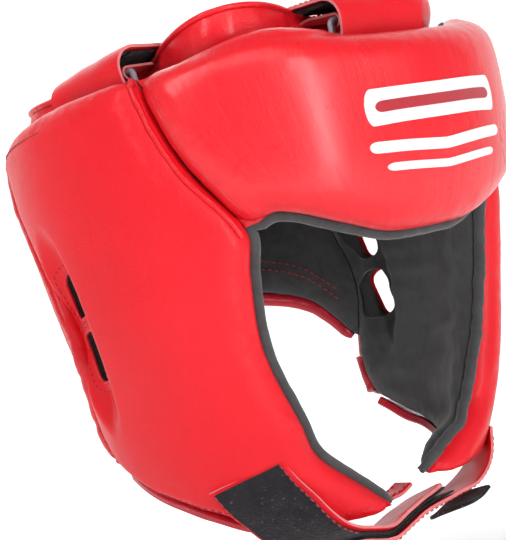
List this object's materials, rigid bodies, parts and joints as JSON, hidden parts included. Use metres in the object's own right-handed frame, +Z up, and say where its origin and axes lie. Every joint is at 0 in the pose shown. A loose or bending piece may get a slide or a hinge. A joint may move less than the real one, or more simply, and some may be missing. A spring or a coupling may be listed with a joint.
{
  "type": "boxing headgear",
  "caption": "Open-face padded leather boxing headgear with side and rear pads, a strapped crown pad, ear slots and hook-and-loop chin and rear straps.",
  "frame": {"origin": "the point where the top of the wearer's head touches the underside of the crown pad", "axes": "+Z up, the wearer faces -Y, the wearer's left is +X"},
  "size_m": [0.224, 0.2586, 0.2691],
  "materials": {
    "shell_leather": "smooth red cowhide, satin gloss, fine grain",
    "binding_leather": "dark crimson glossy leather, rolled",
    "suede_lining": "charcoal brushed suede",
    "foam": "closed-cell foam",
    "strap_leather": "red leather with raw salmon cut edges",
    "hook_and_loop": "black hook and loop tape",
    "ring_plastic": "grey moulded ring",
    "badge_thread": "white embroidery"
  },
  "bodies": {
    "root": {"forehead_leather": "shell_leather", "forehead_foam": "foam", "forehead_lining": "suede_lining", "right_side_leather": "shell_leather", "right_side_foam": "foam", "right_side_lining": "suede_lining", "left_side_leather": "shell_leather", "left_side_foam": "foam", "left_side_lining": "suede_lining", "rear_leather": "shell_leather", "rear_foam": "foam", "rear_lining": "suede_lining", "crown_leather": "shell_leather", "crown_foam": "foam", "crown_lining": "suede_lining", "face_binding": "suede_lining", "rear_hem_binding": "binding_leather", "right_ear_binding": "binding_leather", "left_ear_binding": "binding_leather", "forehead_badge": "badge_thread", "front_ring": "ring_plastic", "right_ring": "ring_plastic", "left_ring": "ring_plastic", "rear_ring": "ring_plastic", "front_ring_anchor": "strap_leather", "right_ring_anchor": "strap_leather", "left_ring_anchor": "strap_leather", "rear_ring_anchor": "strap_leather", "front_crown_tab": "strap_leather", "right_crown_tab": "strap_leather", "left_crown_tab": "strap_leather", "rear_crown_tab": "strap_leather", "front_strap_fold": "strap_leather", "right_strap_fold": "strap_leather", "left_strap_fold": "strap_leather", "rear_strap_fold": "strap_leather", "near_chin_strap_base": "strap_leather", "near_chin_base_tape": "hook_and_loop", "chin_tack_tab": "binding_leather", "right_chin_gusset": "binding_leather", "left_chin_gusset": "binding_leather", "rear_loop_patch": "hook_and_loop"},
    "front_flap": {"front_strap_leaf": "strap_leather", "front_leaf_tape": "hook_and_loop"},
    "right_flap": {"right_strap_leaf": "strap_leather", "right_leaf_tape": "hook_and_loop"},
    "left_flap": {"left_strap_leaf": "strap_leather", "left_leaf_tape": "hook_and_loop"},
    "rear_flap": {"rear_strap_leaf": "strap_leather", "rear_leaf_tape": "hook_and_loop"},
    "near_chin_end": {"near_chin_strap_end": "strap_leather", "near_chin_end_tape": "hook_and_loop"},
    "far_chin": {"far_chin_strap": "strap_leather", "far_chin_tape": "hook_and_loop", "far_chin_tail": "hook_and_loop"},
    "rear_closure": {"rear_strap": "strap_leather", "rear_strap_tape": "hook_and_loop"}
  },
  "joints": [
    {"name": "front_flap_peel", "type": "hinge", "parent": "root", "child": "front_flap", "pos_m": [0, -0.093, 0.0306], "axis": [1, 0, 0], "range_deg": [0, 120]},
    {"name": "right_flap_peel", "type": "hinge", "parent": "root", "child": "right_flap", "pos_m": [-0.086, 0.00201, 0.02042], "axis": [0, -0.9848, 0.1736], "range_deg": [0, 120]},
    {"name": "left_flap_peel", "type": "hinge", "parent": "root", "child": "left_flap", "pos_m": [0.086, 0.00201, 0.02042], "axis": [0, 0.9848, -0.1736], "range_deg": [0, 120]},
    {"name": "rear_flap_peel", "type": "hinge", "parent": "root", "child": "rear_flap", "pos_m": [0, 0.0965, 0.0078], "axis": [-1, 0, 0], "range_deg": [0, 120]},
    {"name": "near_chin_bend", "type": "hinge", "parent": "root", "child": "near_chin_end", "pos_m": [-0.0405, -0.057, -0.2258], "axis": [0, -1, 0], "range_deg": [0, 15]},
    {"name": "far_chin_peel", "type": "hinge", "parent": "root", "child": "far_chin", "pos_m": [0.076, -0.052, -0.193], "axis": [-0.5302, -0.8003, 0.2801], "range_deg": [0, 100]},
    {"name": "rear_strap_peel", "type": "hinge", "parent": "root", "child": "rear_closure", "pos_m": [-0.0535, 0.1108, -0.062], "axis": [0, 0, 1], "range_deg": [0, 110]}
  ]
}
